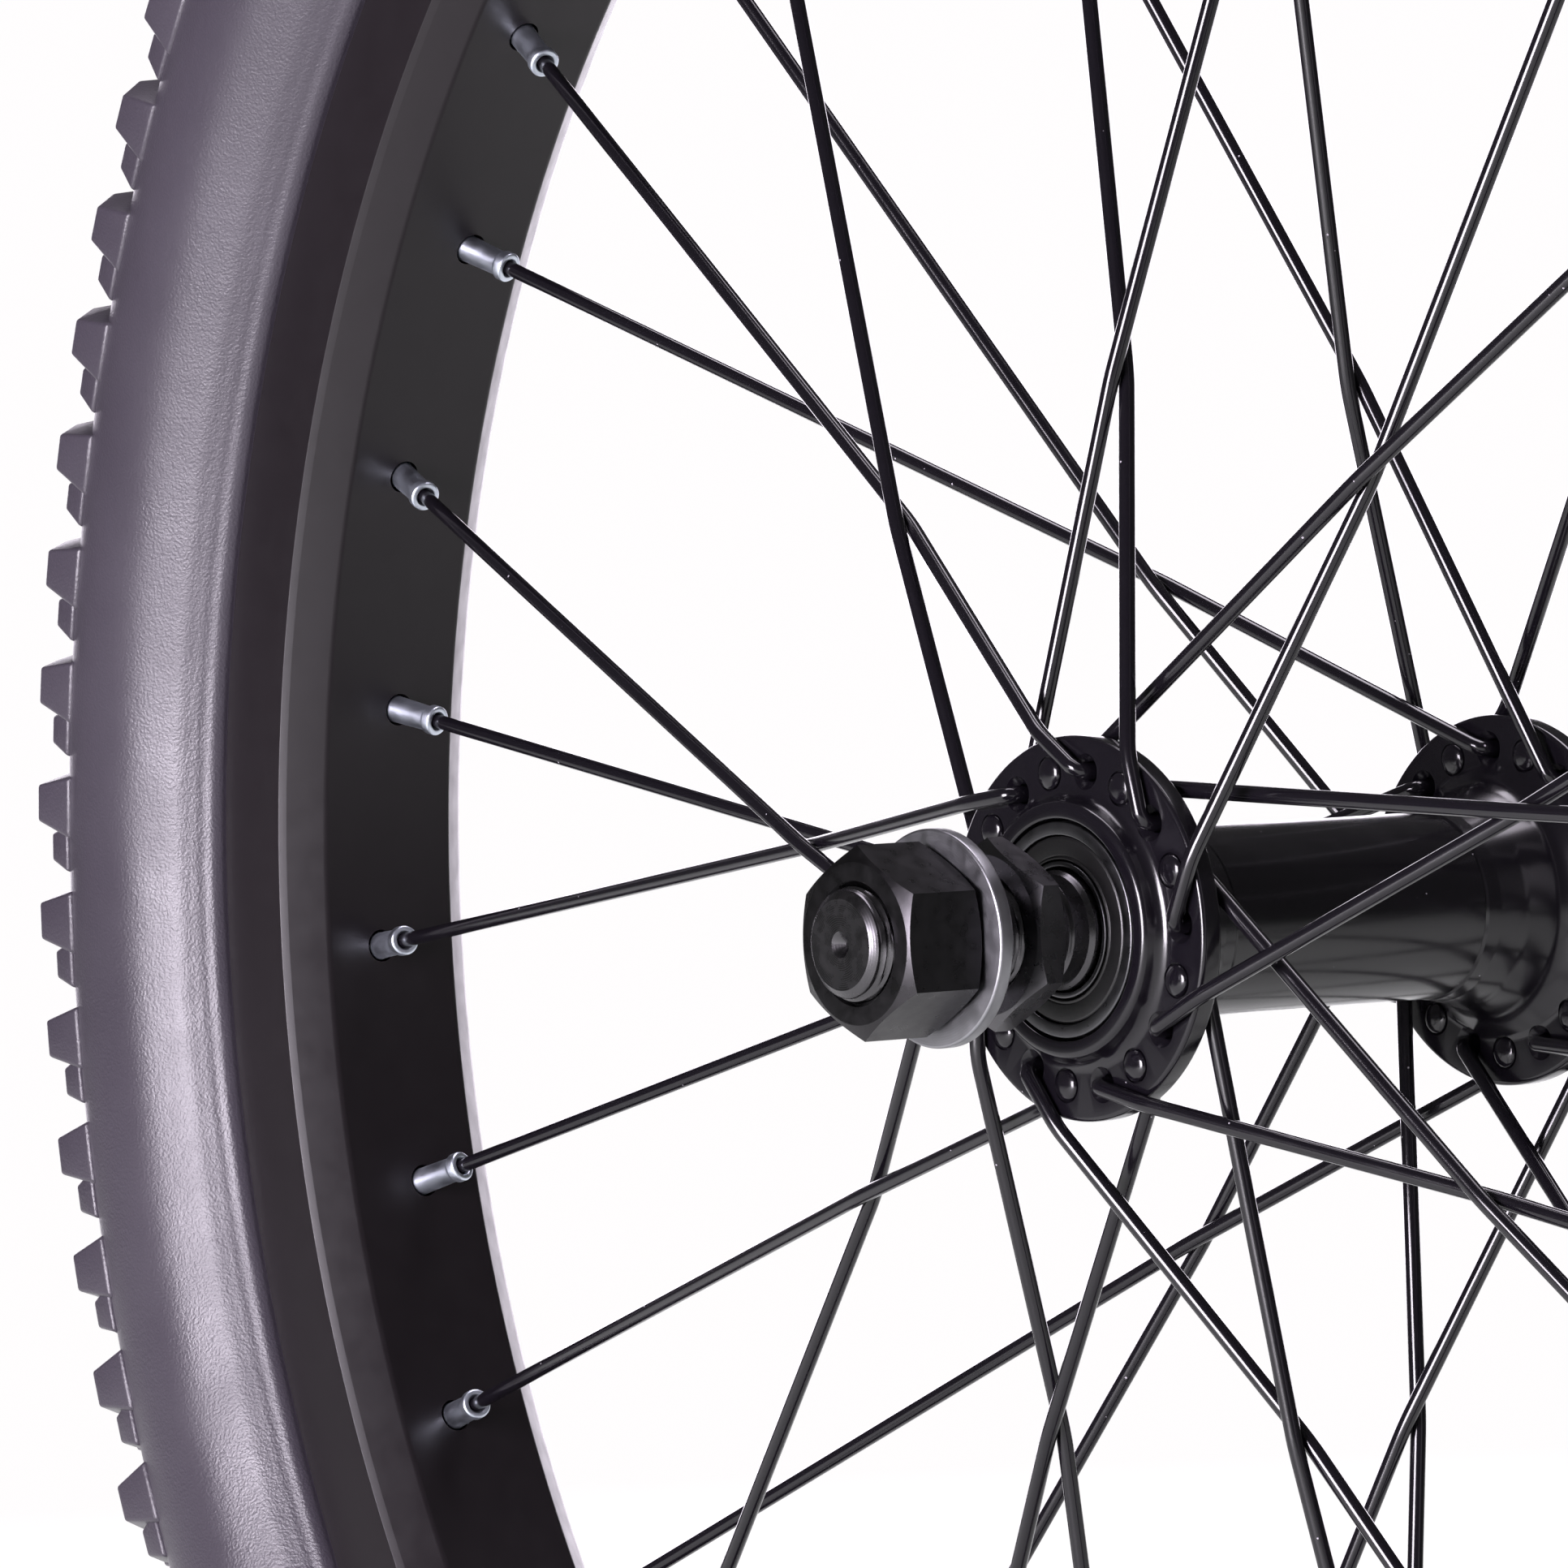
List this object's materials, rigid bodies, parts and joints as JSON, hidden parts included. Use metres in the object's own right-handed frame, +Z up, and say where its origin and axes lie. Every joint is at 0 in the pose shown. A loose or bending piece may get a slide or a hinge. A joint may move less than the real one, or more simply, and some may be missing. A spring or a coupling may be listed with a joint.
{
  "type": "bicycle front wheel",
  "caption": "Small spoked front wheel with a knobbed tyre, deep black rim, crossed black spokes, silver nipples and a flanged sealed-bearing hub.",
  "frame": {"origin": "centre of the wheel, midway along the axle", "axes": "+Y along the axle towards the wheel's right side, +Z up, the valve at the bottom"},
  "size_m": [0.5078, 0.144, 0.5078],
  "materials": {
    "tyre_rubber": "matte",
    "butyl_rubber": "satin",
    "rim_black": "satin",
    "hub_black": "gloss",
    "spoke_black": "gloss",
    "nipple_nickel": "satin",
    "bearing_steel": "satin",
    "axle_steel": "gloss",
    "nut_steel": "satin",
    "zinc": "satin",
    "brass": "satin",
    "black_plastic": "matte"
  },
  "bodies": {
    "axle_assembly": {"axle": "axle_steel", "bearing_inner_race_left": "bearing_steel", "lock_nut_left": "axle_steel", "washer_left": "zinc", "axle_nut_left": "nut_steel", "bearing_inner_race_right": "bearing_steel", "lock_nut_right": "axle_steel", "washer_right": "zinc", "axle_nut_right": "nut_steel"},
    "wheel": {"hub_shell": "hub_black", "rim": "rim_black", "rim_strip": "butyl_rubber", "tyre": "tyre_rubber", "inner_tube": "butyl_rubber", "valve_stem": "brass", "valve_cap": "black_plastic", "bearing_outer_race_left": "bearing_steel", "bearing_outer_race_right": "bearing_steel", "bearing_seal_left_inside": "butyl_rubber", "bearing_seal_left_outside": "butyl_rubber", "bearing_seal_right_inside": "butyl_rubber", "bearing_seal_right_outside": "butyl_rubber", "spoke_left_01": "spoke_black", "spoke_left_02": "spoke_black", "spoke_left_03": "spoke_black", "spoke_left_04": "spoke_black", "spoke_left_05": "spoke_black", "spoke_left_06": "spoke_black", "spoke_left_07": "spoke_black", "spoke_left_08": "spoke_black", "spoke_left_09": "spoke_black", "spoke_left_10": "spoke_black", "spoke_left_11": "spoke_black", "spoke_left_12": "spoke_black", "spoke_left_13": "spoke_black", "spoke_left_14": "spoke_black", "spoke_left_15": "spoke_black", "spoke_left_16": "spoke_black", "spoke_left_17": "spoke_black", "spoke_left_18": "spoke_black", "spoke_right_01": "spoke_black", "spoke_right_02": "spoke_black", "spoke_right_03": "spoke_black", "spoke_right_04": "spoke_black", "spoke_right_05": "spoke_black", "spoke_right_06": "spoke_black", "spoke_right_07": "spoke_black", "spoke_right_08": "spoke_black", "spoke_right_09": "spoke_black", "spoke_right_10": "spoke_black", "spoke_right_11": "spoke_black", "spoke_right_12": "spoke_black", "spoke_right_13": "spoke_black", "spoke_right_14": "spoke_black", "spoke_right_15": "spoke_black", "spoke_right_16": "spoke_black", "spoke_right_17": "spoke_black", "spoke_right_18": "spoke_black"},
    "cage_left": {"bearing_cage_left": "bearing_steel"},
    "cage_right": {"bearing_cage_right": "bearing_steel"}
  },
  "joints": [
    {"name": "wheel_spin", "type": "hinge", "parent": "axle_assembly", "child": "wheel", "pos_m": [0, 0, 0], "axis": [0, 1, 0], "continuous": true},
    {"name": "cage_left_spin", "type": "hinge", "parent": "axle_assembly", "child": "cage_left", "pos_m": [0, -0.0348, 0], "axis": [0, 1, 0], "continuous": true},
    {"name": "cage_right_spin", "type": "hinge", "parent": "axle_assembly", "child": "cage_right", "pos_m": [0, 0.0348, 0], "axis": [0, 1, 0], "continuous": true}
  ],
  "couplings": [
    {"joint": "cage_left_spin", "follows": "wheel_spin", "ratio": 0.5777},
    {"joint": "cage_right_spin", "follows": "wheel_spin", "ratio": 0.5777}
  ]
}
